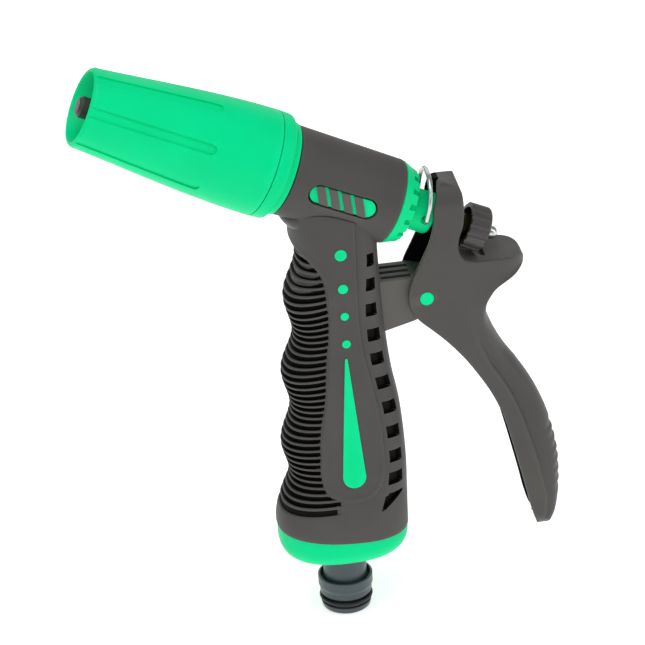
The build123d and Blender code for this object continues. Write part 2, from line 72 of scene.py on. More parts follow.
def add_camera():
    """Camera from the azimuth, elevation and roll, aimed beside the origin."""
    back = Vector((
        math.sin(CAMERA_AZIMUTH) * math.cos(CAMERA_ELEVATION),
        -math.cos(CAMERA_AZIMUTH) * math.cos(CAMERA_ELEVATION),
        math.sin(CAMERA_ELEVATION),
    ))
    right = Vector((math.cos(CAMERA_AZIMUTH), math.sin(CAMERA_AZIMUTH), 0))
    up = back.cross(right)
    turned_right = right * math.cos(CAMERA_ROLL) + up * math.sin(CAMERA_ROLL)
    turned_up = up * math.cos(CAMERA_ROLL) - right * math.sin(CAMERA_ROLL)
    place = turned_right * AIM_RIGHT + turned_up * AIM_UP + back * CAMERA_DISTANCE
    camera = bpy.data.objects.new("camera", bpy.data.cameras.new("camera"))
    camera.data.lens = CAMERA_LENS
    camera.data.clip_start = 0.05
    turn = Matrix((turned_right, turned_up, back)).transposed()
    camera.matrix_world = Matrix.Translation(place) @ turn.to_4x4()
    bpy.context.scene.collection.objects.link(camera)
    bpy.context.scene.camera = camera


# ---- light and floor --------------------------------------------------------------------
LIGHTS = [                  # name, place, size, power
    ("top_light", (-0.15, -0.15, 0.95), (0.7, 0.5), 3.7),
    ("left_light", (-0.75, -0.55, 0.35), (0.35, 0.9), 0.7),
    ("right_light", (0.85, -0.35, 0.35), (0.35, 0.9), 2.0),
    ("front_light", (-0.15, -0.75, 0.62), (0.7, 0.4), 1.1),
    ("back_light", (0.1, 0.9, 0.5), (0.9, 0.5), 1.2),
]
WORLD_LIGHT = 0.3
FLOOR_HALF, FLOOR_GLOW = 4.0, 0.6


def area_light(name, place, aim, size, power):
    """Rectangular light at a place, turned towards the aim."""
    data = bpy.data.lights.new(name, "AREA")
    data.shape = "RECTANGLE"
    data.size, data.size_y = size
    data.energy = power
    light = bpy.data.objects.new(name, data)
    light.location = place
    light.rotation_euler = (Vector(aim) - Vector(place)).to_track_quat("-Z", "Y").to_euler()
    bpy.context.scene.collection.objects.link(light)


def add_light():
    """Soft boxes above and around the gun, and a pale world."""
    middle = (0, 0, 100 * MM)
    for name, place, size, power in LIGHTS:
        area_light(name, place, middle, size, power)
    world = bpy.data.worlds.new("studio")
    world.use_nodes = True
    world.node_tree.nodes["Background"].inputs["Color"].default_value = (1, 1, 1, 1)
    world.node_tree.nodes["Background"].inputs["Strength"].default_value = WORLD_LIGHT
    bpy.context.scene.world = world
    bpy.context.scene.view_settings.view_transform = "Standard"


def add_floor():
    """White ground under the spigot's end, bright enough to show no horizon."""
    corners = [(x * FLOOR_HALF, y * FLOOR_HALF, 0) for x, y in ((-1, -1), (1, -1), (1, 1), (-1, 1))]
    mesh = bpy.data.meshes.new("floor")
    mesh.from_pydata(corners, [], [(0, 1, 2, 3)])
    floor = bpy.data.objects.new("floor", mesh)
    floor.location.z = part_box("inlet_spigot")[0][2]
    bpy.context.scene.collection.objects.link(floor)
    paint = bpy.data.materials.new("floor")
    paint.use_nodes = True
    shader = paint.node_tree.nodes["Principled BSDF"]
    shader.inputs["Base Color"].default_value = (0.92, 0.92, 0.92, 1)
    shader.inputs["Roughness"].default_value = 0.9
    shader.inputs["Emission Color"].default_value = (1, 1, 1, 1)
    shader.inputs["Emission Strength"].default_value = FLOOR_GLOW
    mesh.materials.append(paint)


# ---- materials ----------------------------------------------------------------------------
def colour(red, green, blue):
    """Linear colour from the usual 0-255 display values."""
    linear = []
    for value in (red, green, blue):
        share = value / 255
        linear.append(share / 12.92 if share <= 0.04045 else ((share + 0.055) / 1.055) ** 2.4)
    return (*linear, 1)


EDGE_START, EDGE_FULL = 0.52, 0.60      # pointiness where the painted edge highlight starts and where it is full


class Paint:
    """A node material with noise in object space driving colour, roughness and bump."""

    def __init__(self, name, **constants):
        self.material = bpy.data.materials.new(name)
        self.material.use_nodes = True
        self.tree = self.material.node_tree
        self.shader = self.tree.nodes["Principled BSDF"]
        for socket, value in constants.items():
            self.shader.inputs[socket.replace("_", " ")].default_value = value
        self.place = self.tree.nodes.new("ShaderNodeTexCoord").outputs["Object"]

    def node(self, kind, **settings):
        made = self.tree.nodes.new(kind)
        for key, value in settings.items():
            setattr(made, key, value)
        return made

    def link(self, start, end):
        self.tree.links.new(start, end)

    def noise(self, scale, detail=2.0, rough=0.5):
        made = self.node("ShaderNodeTexNoise")
        made.inputs["Scale"].default_value = scale
        made.inputs["Detail"].default_value = detail
        made.inputs["Roughness"].default_value = rough
        self.link(self.place, made.inputs["Vector"])
        return made.outputs["Fac"]

    def spread(self, value, low, high):
        """Maps the middle of a noise value onto low to high."""
        made = self.node("ShaderNodeMapRange")
        made.inputs["From Min"].default_value = 0.3
        made.inputs["From Max"].default_value = 0.7
        made.inputs["To Min"].default_value = low
        made.inputs["To Max"].default_value = high
        self.link(value, made.inputs["Value"])
        return made.outputs["Result"]

    def mix(self, factor, first, second):
        """Blends two colours or colour outputs: the first at factor 0, the second at 1."""
        made = self.node("ShaderNodeMix", data_type="RGBA")
        self.link(factor, made.inputs["Factor"])
        for socket, value in ((6, first), (7, second)):
            if isinstance(value, tuple):
                made.inputs[socket].default_value = value
            else:
                self.link(value, made.inputs[socket])
        return made.outputs[2]

    def edges(self, edge_highlight):
        """Share of the painted edge highlight: most along protruding edges."""
        made = self.node("ShaderNodeMapRange")
        made.inputs["From Min"].default_value = EDGE_START
        made.inputs["From Max"].default_value = EDGE_FULL
        made.inputs["To Max"].default_value = edge_highlight
        self.link(self.node("ShaderNodeNewGeometry").outputs["Pointiness"], made.inputs["Value"])
        return made.outputs["Result"]

    def bump(self, layers):
        """Adds bump from (height value, depth in metres) pairs."""
        normal = None
        for height, depth in layers:
            made = self.node("ShaderNodeBump")
            made.inputs["Strength"].default_value = 1.0
            made.inputs["Distance"].default_value = depth
            self.link(height, made.inputs["Height"])
            if normal:
                self.link(normal, made.inputs["Normal"])
            normal = made.outputs["Normal"]
        self.link(normal, self.shader.inputs["Normal"])

    def base(self, value):
        self.link(value, self.shader.inputs["Base Color"])

    def rough(self, value):
        self.link(value, self.shader.inputs["Roughness"])


def moulded(name, main, light, dark, roughness, grain, depth, edge_highlight=0.3, **constants):
    """Moulded plastic or rubber: mottled colour, fine grain, and a painted highlight in the light colour
    along protruding edges.
    """
    paint = Paint(name, **constants)
    mottle = paint.spread(paint.noise(38, 4), 0, 1)
    body = paint.mix(mottle, main, dark)
    # the light colour is a painted highlight along protruding edges
    paint.base(paint.mix(paint.edges(edge_highlight), body, light))
    paint.rough(paint.spread(paint.noise(120, 3), roughness - 0.05, roughness + 0.06))
    paint.bump([(paint.noise(grain, 3, 0.6), depth), (paint.noise(160, 2), 20e-6)])
    return paint.material


def green_plastic():
    return moulded(
        "green_plastic", colour(0, 224, 146), colour(8, 240, 166), colour(0, 215, 138),
        0.40, 2600, 12e-6, Specular_IOR_Level=0.08,
    )


def soft_grip():
    return moulded(
        "soft_grip", colour(79, 76, 74), colour(104, 101, 98), colour(72, 70, 68),
        0.55, 3200, 30e-6, edge_highlight=0.5, Specular_IOR_Level=0.25,
    )


def trigger_plastic():
    return moulded(
        "trigger_plastic", colour(76, 74, 71), colour(104, 101, 97), colour(69, 67, 65),
        0.46, 3000, 26e-6, edge_highlight=0.55, Specular_IOR_Level=0.3,
    )


def dark_plastic():
    return moulded(
        "dark_plastic", colour(60, 58, 57), colour(104, 102, 100), colour(53, 51, 50), 0.38, 2600, 14e-6,
    )


def painted_groove_shade():
    """Painted shade: near-black colour for the shaded bottoms of grooves and windows and the inside of the
    trigger; the floor of the sleeve's recess uses it too.
    """
    return moulded(
        "painted_groove_shade", colour(10, 10, 11), colour(24, 24, 24), colour(7, 7, 8), 0.6, 2600, 16e-6,
        Specular_IOR_Level=0.1,
    )


def spigot_plastic():
    return moulded(
        "spigot_plastic", colour(64, 73, 80), colour(98, 107, 115), colour(57, 66, 73), 0.34, 2400, 10e-6,
    )


def black_rubber():
    return moulded(
        "black_rubber", colour(17, 17, 18), colour(38, 38, 39), colour(12, 12, 13), 0.45, 2400, 10e-6,
    )


def metal(name, main, dark, roughness):
    paint = Paint(name, Metallic=1.0)
    paint.base(paint.mix(paint.spread(paint.noise(90, 4), 0, 1), main, dark))
    paint.rough(paint.spread(paint.noise(700, 3), roughness - 0.05, roughness + 0.08))
    paint.bump([(paint.noise(1800, 2), 4e-6)])
    return paint.material


MATERIALS = {
    "green_plastic": green_plastic(),
    "soft_grip": soft_grip(),
    "trigger_plastic": trigger_plastic(),
    "dark_plastic": dark_plastic(),
    "painted_groove_shade": painted_groove_shade(),
    "spigot_plastic": spigot_plastic(),
    "black_rubber": black_rubber(),
    "bright_steel": metal("bright_steel", colour(206, 207, 208), colour(184, 185, 186), 0.26),
    # brass hue, darkened as painted shade for the insert that sits in the knob's shaded hollow
    "brass": metal("brass", colour(64, 54, 38), colour(50, 42, 30), 0.45),
}


def paint_cad_nodes():
    """Gives each CAD piece the material of its slot in the record."""
    slots = {part["node"]: part["material_slot"] for part in frame["record"]["subparts"]}
    for node, piece in frame["nodes"].items():
        piece.data.materials.clear()
        piece.data.materials.append(MATERIALS[slots[node]])


# ---- shared shapes, in millimetres until made into an object -------------------------------
def smoothstep(value):
    value = np.clip(value, 0, 1)
    return value * value * (3 - 2 * value)


def smooth_through(at, places, values):
    """Smooth curve through (place, value) pairs, read at the given places."""
    places = np.array(places, float)
    values = np.array(values, float)
    slopes = np.gradient(values, places)
    index = np.clip(np.searchsorted(places, at) - 1, 0, len(places) - 2)
    step = places[index + 1] - places[index]
    share = np.clip((at - places[index]) / step, 0, 1)
    square, cube = share**2, share**3
    return (
        (2 * cube - 3 * square + 1) * values[index]
        + (cube - 2 * square + share) * step * slopes[index]
        + (3 * square - 2 * cube) * values[index + 1]
        + (cube - square) * step * slopes[index + 1]
    )


def curve_through(points, count):
    """Evenly numbered points on a smooth curve through the given ones."""
    points = np.array(points, float)
    steps = np.linalg.norm(np.diff(points, axis=0), axis=1)
    places = np.concatenate([[0], np.cumsum(steps)])
    at = np.linspace(0, places[-1], count)
    return np.stack([smooth_through(at, places, column) for column in points.T], axis=1)


def distance_inside(x, z, outline):
    """Distance to a closed outline, positive inside it."""
    nearest = np.full(x.shape, 1e9)
    inside = np.zeros(x.shape, bool)
    for (x1, z1), (x2, z2) in zip(outline, np.roll(outline, -1, axis=0)):
        along_x, along_z = x2 - x1, z2 - z1
        length = along_x**2 + along_z**2 + 1e-12
        share = np.clip(((x - x1) * along_x + (z - z1) * along_z) / length, 0, 1)
        nearest = np.minimum(nearest, np.hypot(x - x1 - share * along_x, z - z1 - share * along_z))
        crosses = (z1 > z) != (z2 > z)
        inside ^= crosses & (x < x1 + (z - z1) * along_x / (along_z if along_z else 1e-12))
    return np.where(inside, nearest, -nearest)


class Builder:
    """Collects vertices and faces of one piece, then makes the object."""

    def __init__(self):
        self.places = []
        self.faces = []
        self.tones = []

    def grid(self, points, tone=None):
        """Adds closed rings of points (rows, columns, 3); tone is the material index of each face."""
        rows, columns, _ = points.shape
        first = len(self.places)
        self.places.extend(map(tuple, points.reshape(-1, 3)))
        for row in range(rows - 1):
            for column in range(columns):
                after = (column + 1) % columns
                base, above = first + row * columns, first + (row + 1) * columns
                self.faces.append((base + column, base + after, above + after, above + column))
                self.tones.append(int(tone[row, column]) if tone is not None else 0)
        return first

    def cap(self, ring):
        self.faces.append(tuple(ring))
        self.tones.append(0)

    def tube(self, points, tone=None):
        """Adds rings of points and closes both ends."""
        first = self.grid(points, tone)
        rows, columns, _ = points.shape
        last = first + (rows - 1) * columns
        self.cap(range(first + columns - 1, first - 1, -1))
        self.cap(range(last, last + columns))

    def make(self, name, body, slots, node, sharp=40):
        mesh = bpy.data.meshes.new(name)
        mesh.from_pydata([tuple(c * MM for c in place) for place in self.places], [], self.faces)
        for slot in slots:
            mesh.materials.append(MATERIALS[slot])
        mesh.polygons.foreach_set("material_index", self.tones)
        made = bpy.data.objects.new(name, mesh)
        bpy.context.scene.collection.objects.link(made)
        tidy_mesh(mesh, sharp)
        settle(made, body, slots[0], node)
        return made


def tidy_mesh(mesh, sharp):
    """Welds doubles, drops empty faces, turns the faces outwards and marks sharp edges."""
    work = bmesh.new()
    work.from_mesh(mesh)
    bmesh.ops.remove_doubles(work, verts=work.verts, dist=0.004 * MM)
    bmesh.ops.dissolve_degenerate(work, edges=work.edges, dist=0.002 * MM)
    loose = [vertex for vertex in work.verts if not vertex.link_faces]
    bmesh.ops.delete(work, geom=loose, context="VERTS")
    bmesh.ops.recalc_face_normals(work, faces=work.faces)
    for face in work.faces:
        face.smooth = True
    for edge in work.edges:
        if len(edge.link_faces) == 2:
            edge.smooth = edge.calc_face_angle(0) < math.radians(sharp)
    work.to_mesh(mesh)
    work.free()


def settle(piece, body, slot, *nodes):
    """Parents the piece to its body's empty and hides the CAD nodes it stands for; slot is not used."""
    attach(piece, body)
    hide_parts(*nodes)


def cut(piece, cutter):
    """Takes the cutter's shape out of the piece and removes the cutter."""
    change = piece.modifiers.new("cut", "BOOLEAN")
    change.operation = "DIFFERENCE"
    change.solver = "EXACT"
    change.object = cutter
    graph = bpy.context.evaluated_depsgraph_get()
    result = bpy.data.meshes.new_from_object(piece.evaluated_get(graph))
    piece.modifiers.clear()
    old = piece.data
    piece.data = result
    bpy.data.meshes.remove(old)
    bpy.data.objects.remove(cutter)


# ---- the barrel's frame -----------------------------------------------------------------------
BARREL_TILT = math.radians(25.2)
BARREL_HEIGHT = 147.3
SLEEVE_FRONT, SLEEVE_REAR = 13.4, -21.4
SLEEVE_FRONT_R, SLEEVE_REAR_R, CORE_R = 13.9, 13.1, 11.0


def from_barrel(along, up, side):
    """Gun frame from the barrel's: along it to the mouth, up, and to the side."""
    x = -math.cos(BARREL_TILT) * along + math.sin(BARREL_TILT) * up
    z = BARREL_HEIGHT + math.sin(BARREL_TILT) * along + math.cos(BARREL_TILT) * up
    return np.stack(np.broadcast_arrays(x, side, z), axis=-1)


def barrel_ring(turns, along, radius):
    """Circle of points about the barrel's axis."""
    return from_barrel(np.full_like(turns, along), radius * np.cos(turns), radius * np.sin(turns))


def sleeve_radius(along):
    """Outside radius of the barrel's slightly tapered sleeve."""
    share = (along - SLEEVE_REAR) / (SLEEVE_FRONT - SLEEVE_REAR)
    return SLEEVE_REAR_R + (SLEEVE_FRONT_R - SLEEVE_REAR_R) * share


# ---- return spring --------------------------------------------------------------------------------
SPRING_REAR, SPRING_FRONT, SPRING_COILS = -14.0, 13.0, 8
SPRING_R, WIRE_R, SPRING_GAP = 4.6, 0.55, 0.02
WIRE_SIDES, COIL_STEPS = 10, 30


def add_spring():
    """Coil spring behind the valve, which the stem presses together as it moves to the rear; here it is
    made at one length and rides with the stem.
    """
    turn = np.linspace(0, 2 * math.pi * SPRING_COILS, SPRING_COILS * COIL_STEPS + 1)[:, None]
    wire = np.linspace(0, 2 * math.pi, WIRE_SIDES, endpoint=False)
    start, end = SPRING_REAR + WIRE_R + SPRING_GAP, SPRING_FRONT - WIRE_R - SPRING_GAP
    along = start + (end - start) * turn / turn[-1] + WIRE_R * np.sin(wire)
    reach = SPRING_R + WIRE_R * np.cos(wire)
    spring = Builder()
    spring.tube(from_barrel(along, reach * np.cos(turn), reach * np.sin(turn)))
    made = spring.make("spring_coil", "stem", ["bright_steel"], "return_spring")
    front, rear = (from_barrel(place, 0.0, 0.0) * MM for place in (SPRING_FRONT, SPRING_REAR))
    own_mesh(made)


# ---- grip cover -----------------------------------------------------------------------------------
GRIP_SECTIONS = [           # height, front, rear, half width
    (26.0, -20.2, 20.3, 16.0), (35.0, -20.4, 20.4, 15.8), (42.0, -18.6, 20.5, 14.9),
    (49.0, -15.9, 20.5, 14.0), (60.5, -17.8, 20.0, 13.2), (73.0, -14.4, 18.9, 12.7),
    (85.0, -16.6, 16.9, 12.4), (97.5, -12.5, 15.6, 12.2), (110.5, -14.7, 14.9, 12.1),
    (124.0, -10.5, 14.3, 12.1), (133.0, -11.6, 14.2, 12.1), (142.0, -12.0, 14.0, 12.0),
]
FRONT_SQUARENESS = 2.35
REAR_SQUARENESS = [(44, 2.35), (62, 3.2)]
PANEL_RISE, PANEL_RIM, PANEL_DIP = 0.75, 1.5, 0.22      # the panel dips slightly within its rim
GROOVE_DEPTH = 1.45
GRIP_FOOT, GRIP_BLEND = 27.0, 13.0      # rows follow the tilted joint at the foot, and the slopes above
RIB_PITCH, RIB_BOTTOM, RIB_COUNT = 2.2, 42.1, 40
BASE_SPLIT, BASE_TILT = 30.6, math.radians(4)
RIB_SLOPES = [(42, 0.096), (60, 0.12), (85, 0.20), (110, 0.27), (118, 0.18), (126, 0.03), (132, 0)]
REAR_SLOPE = -0.12
# offset from the middle of a groove, and share of its depth
RIB_PROFILE = [
    (-1.1, 0), (-0.86, 0.03), (-0.70, 0.16), (-0.62, 0.5), (-0.55, 0.92),
    (0, 1), (0.55, 0.92), (0.62, 0.5), (0.70, 0.16), (0.86, 0.03),
]
# windows beside the spine: middle height, middle X, width
WINDOWS = [
    (49.4, 15.6, 4.7), (57.0, 15.9, 3.9), (65.5, 15.5, 4.0), (74.1, 14.7, 4.1), (82.7, 13.1, 4.2),
    (91.3, 11.6, 4.0), (99.6, 10.8, 3.9), (108.1, 10.4, 3.4), (116.6, 10.6, 2.8), (124.8, 10.9, 2.2),
]
WINDOW_HALF = 2.1
FOOT_WINDOW = (39.4, 44.4)  # the lowest window tapers down to a point
FOOT_WINDOW_MIDDLE = (10.5, 14.9)
FOOT_WINDOW_WIDTH = (0.3, 5.7)
PANEL_FRONT = [(-13, 131), (-10.5, 128.2), (-7, 125), (-3.9, 120.4), (-2.7, 111), (-3.5, 93), (-6.9, 63),
               (-7.4, 52), (-5.6, 47), (-1.6, 44.4)]
PANEL_REAR = [(-1.6, 44.4), (4, 44.1), (9, 46), (11.7, 51), (12.2, 62), (9.5, 84), (8.1, 91.3), (7.0, 99.6),
              (6.6, 108), (6.6, 120), (6.8, 146)]


def panel_outline():
    """Side view of the raised panel, closed in front of and above the grip."""
    front, rear = curve_through(PANEL_FRONT, 60), curve_through(PANEL_REAR, 60)
    return np.concatenate([[(-40, 146), (-40, 132), (-15, 132)], front, rear[1:]])


def grip_section(z):
    """Middle X, half length and half width of the grip at a height."""
    heights, fronts, rears, widths = zip(*GRIP_SECTIONS)
    front = smooth_through(z, heights, fronts)
    rear = smooth_through(z, heights, rears)
    return (front + rear) / 2, (rear - front) / 2, smooth_through(z, heights, widths)


def turn_at(x, z):
    """The turn, from the front at 0 to the rear at pi, where the grip's oval passes X."""
    middle, length, _ = grip_section(z)
    share = np.clip((x - middle) / length, -1, 1)
    squareness = np.where(share > 0, np.interp(z, *zip(*REAR_SQUARENESS)), FRONT_SQUARENESS)
    return np.arccos(-np.sign(share) * np.abs(share) ** (squareness / 2))


def grip_point(z, turn, rise):
    """X and positive Y on the grip, standing out by rise."""
    middle, length, width = grip_section(z)
    along = -np.cos(turn)
    power = 2 / np.where(along > 0, np.interp(z, *zip(*REAR_SQUARENESS)), FRONT_SQUARENESS)
    x = middle + (length + rise) * np.sign(along) * np.abs(along) ** power
    y = (width + rise) * np.abs(np.sin(turn)) ** power
    return x, y


def grip_rows():
    """Heights of the rows on the grip's axis, and how deep in a groove each one is."""
    rows = [(height, 0) for height in (GRIP_FOOT, 28.6, 30.2, 31.8, 33.4, 35.0, 36.6, 38.0, 39.0, 39.8)]
    # the lowest groove is wider and shallower
    rows += [(RIB_BOTTOM - 0.4 + 1.5 * offset, 0.62 * share) for offset, share in RIB_PROFILE]
    for step in range(1, RIB_COUNT):
        middle = RIB_BOTTOM + step * RIB_PITCH
        rows += [(middle + offset, share) for offset, share in RIB_PROFILE]
    top = RIB_BOTTOM + RIB_COUNT * RIB_PITCH - RIB_PITCH / 2
    rows += [(top + step * 0.7, 0) for step in range(26)]
    return np.array(rows)


def window_shape(z):
    """Middle X and width of the window column at a height."""
    heights, middles, widths = zip(*WINDOWS)
    middle = np.interp(z, heights, middles)
    width = np.interp(z, heights, widths)
    low, high = FOOT_WINDOW
    taper = np.clip((z - low) / (high - low), 0, 1)
    below = z < high
    foot_middle = np.interp(taper, (0, 1), FOOT_WINDOW_MIDDLE)
    foot_width = np.interp(taper, (0, 1), FOOT_WINDOW_WIDTH)
    return np.where(below, foot_middle, middle), np.where(below, foot_width, width)


# height and X that the mesh's columns follow beside the panel's two edges
FRONT_COLUMNS = [(50, -7.2), (63, -6.9), (93, -3.5), (111, -2.7), (118, -3.2)]
REAR_COLUMNS = [
    (39, 8.8), (44.4, 9.7), (50, 11.0), (62, 12.0), (84, 9.4), (91.3, 7.9), (99.6, 6.9), (108, 6.5),
]


def grip_turns(z):
    """Turn of each column on every row: columns follow the panel's edges and the windows."""
    front_edge = np.interp(z, *zip(*FRONT_COLUMNS))
    rear_edge = np.interp(z, *zip(*REAR_COLUMNS))
    window, width = window_shape(z)
    wall = 0.09             # half the width of the steep column at a window's wall
    stations = [
        (np.zeros_like(z), 14), (turn_at(front_edge - 1.2, z), 9), (turn_at(front_edge + 2.4, z), 8),
        (turn_at(rear_edge - 2.4, z), 9), (turn_at(rear_edge + 1.1, z), 3),
        (turn_at(window - width / 2 - wall, z), 1), (turn_at(window - width / 2 + wall, z), 3),
        (turn_at(window + width / 2 - wall, z), 1), (turn_at(window + width / 2 + wall, z), 10),
        (np.full_like(z, math.pi), 0),
    ]
    columns = []
    for (start, count), (end, _) in zip(stations, stations[1:]):
        columns += [start + (end - start) * step / count for step in range(count)]
    columns.append(stations[-1][0])
    return np.stack(columns, axis=1)


# columns of the windows, counted from the front
WINDOW_COLUMNS = slice(44, 48)      # inside the walls
WINDOW_SURROUND = slice(42, 50)     # with the columns beside the walls
WINDOW_MIDDLE = 45
WINDOW_LEDGE = 0.18                 # between the two rows at a window's upper and lower wall


def sink_windows(z):
    """Depth of the windows; two rows are moved to each edge, so that the walls are steep."""
    depth = np.zeros_like(z)
    foot_low, foot_high = FOOT_WINDOW
    openings = [(height, WINDOW_HALF) for height, _, _ in WINDOWS]
    openings.append(((foot_low + foot_high) / 2, (foot_high - foot_low) / 2))
    for height, half in openings:
        middle_column = z[:, WINDOW_MIDDLE]
        low = int(np.argmin(np.abs(middle_column - height + half)))
        high = int(np.argmin(np.abs(middle_column - height - half)))
        for row, inwards in ((low, 1), (high, -1)):
            z[row, WINDOW_SURROUND] += height - inwards * half - middle_column[row]
            z[row + inwards, WINDOW_SURROUND] = z[row, WINDOW_SURROUND] + inwards * WINDOW_LEDGE
        depth[low + 1:high, WINDOW_COLUMNS] = GROOVE_DEPTH
    return depth


def below_sleeve(x, y, z):
    """Heights held below the barrel's sleeve, just inside it."""
    along = -x * math.cos(BARREL_TILT) + (z - BARREL_HEIGHT) * math.sin(BARREL_TILT)
    radius = sleeve_radius(np.clip(along, SLEEVE_REAR, SLEEVE_FRONT))
    hidden = np.where(along > SLEEVE_REAR + 1.2, 1.0, -0.1)
    drop = np.sqrt(np.maximum(radius**2 - y**2, 1))
    top = BARREL_HEIGHT - (drop + x * math.sin(BARREL_TILT)) / math.cos(BARREL_TILT) + hidden
    return np.minimum(z, top)


def grip_side():
    """Points and face tones of the grip from the front centre line round one side to the rear one."""
    base, groove = grip_rows().T
    turns = grip_turns(base)
    x, _ = grip_point(base[:, None], turns, 0)
    slope = np.interp(base, *zip(*RIB_SLOPES))[:, None]
    z = base[:, None] + slope * np.minimum(x, 0) + REAR_SLOPE * np.maximum(x - 8, 0)
    bottom = BASE_SPLIT - math.tan(BASE_TILT) * x
    share = smoothstep((base[:, None] - GRIP_FOOT) / GRIP_BLEND)
    z = bottom + (base[:, None] - GRIP_FOOT) * 0.85 * (1 - share) + (z - bottom) * share
    depth = sink_windows(z)
    x, y = grip_point(base[:, None], turns, 0)
    inside = distance_inside(x, z, panel_outline())
    rise = PANEL_RISE * smoothstep(inside / 0.7) - PANEL_DIP * smoothstep((inside - PANEL_RIM) / 0.8)
    clear = smoothstep((-inside - 0.25) / 0.55) * (x < 0) * smoothstep((-2.6 - x) / 0.8)
    depth = np.maximum(depth, GROOVE_DEPTH * groove[:, None] * clear)
    z = below_sleeve(x, y, z)
    x, y = grip_point(z, turns, rise - depth)
    # faces deep in a groove or window get the near-black painted shade
    deep = (depth[:-1, :-1] + depth[1:, :-1] + depth[:-1, 1:] + depth[1:, 1:]) / 4
    return np.stack([x, -y, z], axis=-1), deep > 0.3 * GROOVE_DEPTH


def add_grip_cover():
    """Both sides of the grip in one piece with the barrel's sleeve."""
    near, deep = grip_side()
    far = near[:, -2:0:-1] * (1, -1, 1)
    cover = Builder()
    # material index 1 is the painted shade on faces deep in grooves and windows
    tone = np.concatenate([deep, deep[:, ::-1]], axis=1).astype(int)
    points = np.concatenate([near, far], axis=1)
    # a small rounded edge at the foot
    rim = points[0] * (0.93, 0.93, 1) - (0, 0, 0.25)
    lip = points[0] * (0.992, 0.992, 1) - (0, 0, 0.25)
    points[0, :, 2] += 0.15
    points = np.concatenate([[rim], [lip], points])
    tone = np.concatenate([np.zeros((2, tone.shape[1]), int), tone])
    cover.tube(points, tone)
    add_sleeve(cover)
    cover.make("grip_cover_skin", "root", ["soft_grip", "painted_groove_shade"], "grip_cover")


BADGE_ALONG, BADGE_UP = -3.3, 0.4
BADGE_STRAIGHT, BADGE_ROUND = 7.8, 3.35
BADGE_DEPTH = 1.9
FINE_STEP, FINE_RISE = 0.22, (-3.2, 4.7)        # mesh of the sleeve where the recess is


def add_sleeve(cover):
    """Barrel sleeve with a long round-ended recess on both sides."""
    badge_half = BADGE_STRAIGHT + BADGE_ROUND + 0.6
    low, high = BADGE_ALONG - badge_half, BADGE_ALONG + badge_half
    rows = [
        *np.linspace(SLEEVE_REAR + 0.7, low, 8)[:-1], *np.arange(low, high, FINE_STEP),
        *np.linspace(high, SLEEVE_FRONT - 0.6, 7),
    ]
    near = np.arcsin(np.arange(*FINE_RISE, FINE_STEP) / (SLEEVE_FRONT_R + 0.3))
    gap = np.linspace(near[-1], math.pi - near[-1], 26)[1:-1]
    under = np.linspace(math.pi - near[0], 2 * math.pi + near[0], 26)[1:-1]
    turns = np.concatenate([near, gap, math.pi - near[::-1], under])
    along, turn = np.meshgrid(rows, turns, indexing="ij")
    radius = sleeve_radius(along)
    up = radius * np.sin(turn) - BADGE_UP
    past = np.maximum(np.abs(along - BADGE_ALONG) - BADGE_STRAIGHT, 0)
    reach = np.hypot(past, up)
    outside = reach - BADGE_ROUND
    close = np.abs(outside) < 0.6 * FINE_STEP
    pull = np.where(close, outside / np.maximum(reach, 1e-6), 0)
    along = along - pull * past * np.sign(along - BADGE_ALONG)
    up = up - pull * up + BADGE_UP
    side = -np.sign(np.cos(turn)) * np.sqrt(np.maximum(radius**2 - up**2, 0))
    deep = (outside < -0.6 * FINE_STEP) & (np.abs(up) < 8)
    scale = np.where(deep, (radius - BADGE_DEPTH) / radius, 1 - np.where(close, 0.12 / radius, 0))
    body = from_barrel(along, up, side * scale)

    def end_ring(place, size):
        return from_barrel(np.full_like(turns, place), size * np.sin(turns), -size * np.cos(turns))

    rear = [
        end_ring(SLEEVE_REAR, CORE_R), end_ring(SLEEVE_REAR, SLEEVE_REAR_R - 0.6),
        end_ring(SLEEVE_REAR + 0.18, SLEEVE_REAR_R - 0.18),
    ]
    front = [
        end_ring(SLEEVE_FRONT - 0.15, SLEEVE_FRONT_R - 0.15), end_ring(SLEEVE_FRONT, SLEEVE_FRONT_R - 0.5),
        end_ring(SLEEVE_FRONT, CORE_R),
    ]
    points = np.concatenate([rear, body, front])
    tone = np.zeros(points.shape[:2], int)
    tone[len(rear):len(rear) + len(rows)] = deep
    cover.grid(points, tone)


# ---- base ring ------------------------------------------------------------------------------------
BASE_BOTTOM, BASE_ROUND = 20.3, 7.2
BASE_INSET = 0.22           # of the ring's wall from the cover's
SPIGOT_HOLE, SPIGOT_HOLE_TOP = 7.0, 24.0


def add_base_ring():
    """Green cap, flush with the cover along the tilted joint and rounded below."""
    turns = np.linspace(0, 2 * math.pi, 96, endpoint=False)

    def section(z, inset):
        x, y = grip_point(30.0, turns, -inset)
        return np.stack([x, -y * np.sign(np.sin(turns)), np.broadcast_to(z, x.shape)], axis=-1)

    edge = section(0.0, 0.0)[:, 0]
    top = BASE_SPLIT - math.tan(BASE_TILT) * edge - 0.12
    rings = [section(top, 2.0), section(top, 0.55), section(top - 0.12, 0.30)]
    for share in (0.25, 0.6, 1.0):
        rings.append(section(top + (BASE_BOTTOM + BASE_ROUND - top) * share, BASE_INSET))
    for step in range(1, 13):
        angle = math.radians(90) * step / 12
        height = BASE_BOTTOM + BASE_ROUND * (1 - math.sin(angle))
        rings.append(section(height, BASE_INSET + BASE_ROUND * (1 - math.cos(angle))))
    hole = [
        (SPIGOT_HOLE + 0.3, BASE_BOTTOM), (SPIGOT_HOLE, BASE_BOTTOM + 0.3), (SPIGOT_HOLE, SPIGOT_HOLE_TOP),
    ]
    for radius, z in hole:
        rings.append(np.stack([
            -radius * np.cos(turns), -radius * np.sin(turns), np.full_like(turns, z),
        ], axis=-1))
    ring = Builder()
    ring.tube(np.array(rings))
    ring.make("base_ring_skin", "root", ["green_plastic"], "base_ring")


